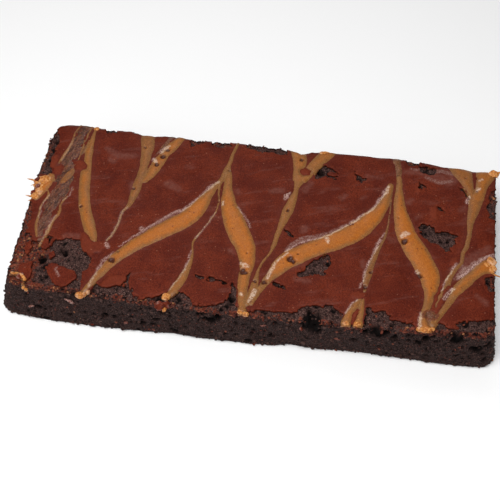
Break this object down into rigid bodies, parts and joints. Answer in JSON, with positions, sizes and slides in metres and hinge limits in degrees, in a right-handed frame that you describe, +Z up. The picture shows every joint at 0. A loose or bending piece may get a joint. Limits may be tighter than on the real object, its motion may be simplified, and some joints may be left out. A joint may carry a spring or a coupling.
{
  "type": "chocolate brownie",
  "caption": "Long flat slab of chocolate brownie with a feathered caramel swirl baked into its thin crust and open dark crumb on its cut sides.",
  "frame": {"origin": "middle of the slab's footprint, on the flat base it lies on", "axes": "+X along the long side, +Z up through the crust, -Y out of the long cut side that faces the viewer in the picture"},
  "size_m": [0.1609, 0.0706, 0.0194],
  "materials": {
    "crust": "satin browned crust",
    "crumb": "dull open crumb",
    "caramel": "glossy baked caramel"
  },
  "bodies": {
    "root": {"brownie": "crust"}
  },
  "joints": []
}
